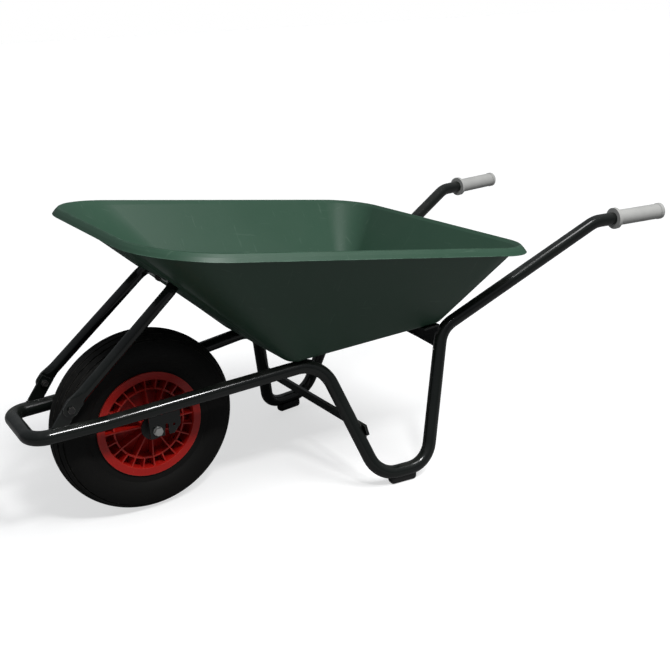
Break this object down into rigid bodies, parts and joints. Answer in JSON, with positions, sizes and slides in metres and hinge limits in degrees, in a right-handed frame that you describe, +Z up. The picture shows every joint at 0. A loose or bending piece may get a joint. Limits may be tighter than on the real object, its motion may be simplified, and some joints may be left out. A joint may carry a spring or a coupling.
{
  "type": "wheelbarrow",
  "caption": "Single-wheel garden wheelbarrow with a moulded plastic tray on a bent steel tube frame and a pneumatic tyre.",
  "frame": {"origin": "on the floor, in the middle of the overall length and width", "axes": "+X towards the handles along the length, +Y towards the operator's right, +Z up"},
  "size_m": [1.5134, 0.7404, 0.6335],
  "materials": {
    "frame_paint": "gloss black powder coat",
    "black_plastic": "matte",
    "grip_plastic": "satin light grey",
    "tray_plastic": "satin dark green",
    "zinc": "zinc plated",
    "black_zinc": "black zinc plated steel",
    "wheel_plastic": "satin red",
    "tyre_rubber": "matte black",
    "tube_rubber": "matte"
  },
  "bodies": {
    "frame": {"front_loop": "frame_paint", "side_tube_left": "frame_paint", "side_tube_right": "frame_paint", "leg_brace": "frame_paint", "front_tray_strap": "frame_paint", "rear_cross_member": "frame_paint", "front_stay": "frame_paint", "stay_lug_left": "frame_paint", "stay_lug_right": "frame_paint", "axle_plate_left": "frame_paint", "axle_plate_right": "frame_paint", "foot_pad_left": "black_plastic", "foot_pad_right": "black_plastic", "grip_left": "grip_plastic", "grip_right": "grip_plastic", "tray": "tray_plastic", "stay_bolts": "black_zinc", "stay_nuts": "black_zinc", "tray_bolts": "black_zinc", "tray_nuts": "black_zinc", "tray_washers": "black_zinc", "axle_bolt": "zinc", "axle_nut": "zinc", "axle_washers": "zinc", "axle_spacers": "zinc"},
    "wheel": {"wheel_centre": "wheel_plastic", "tyre": "tyre_rubber", "inner_tube": "tube_rubber", "valve": "tube_rubber", "hub_bushes": "black_plastic"}
  },
  "joints": [
    {"name": "wheel_spin", "type": "hinge", "parent": "frame", "child": "wheel", "pos_m": [-0.491, 0, 0.2], "axis": [0, 1, 0], "continuous": true}
  ]
}
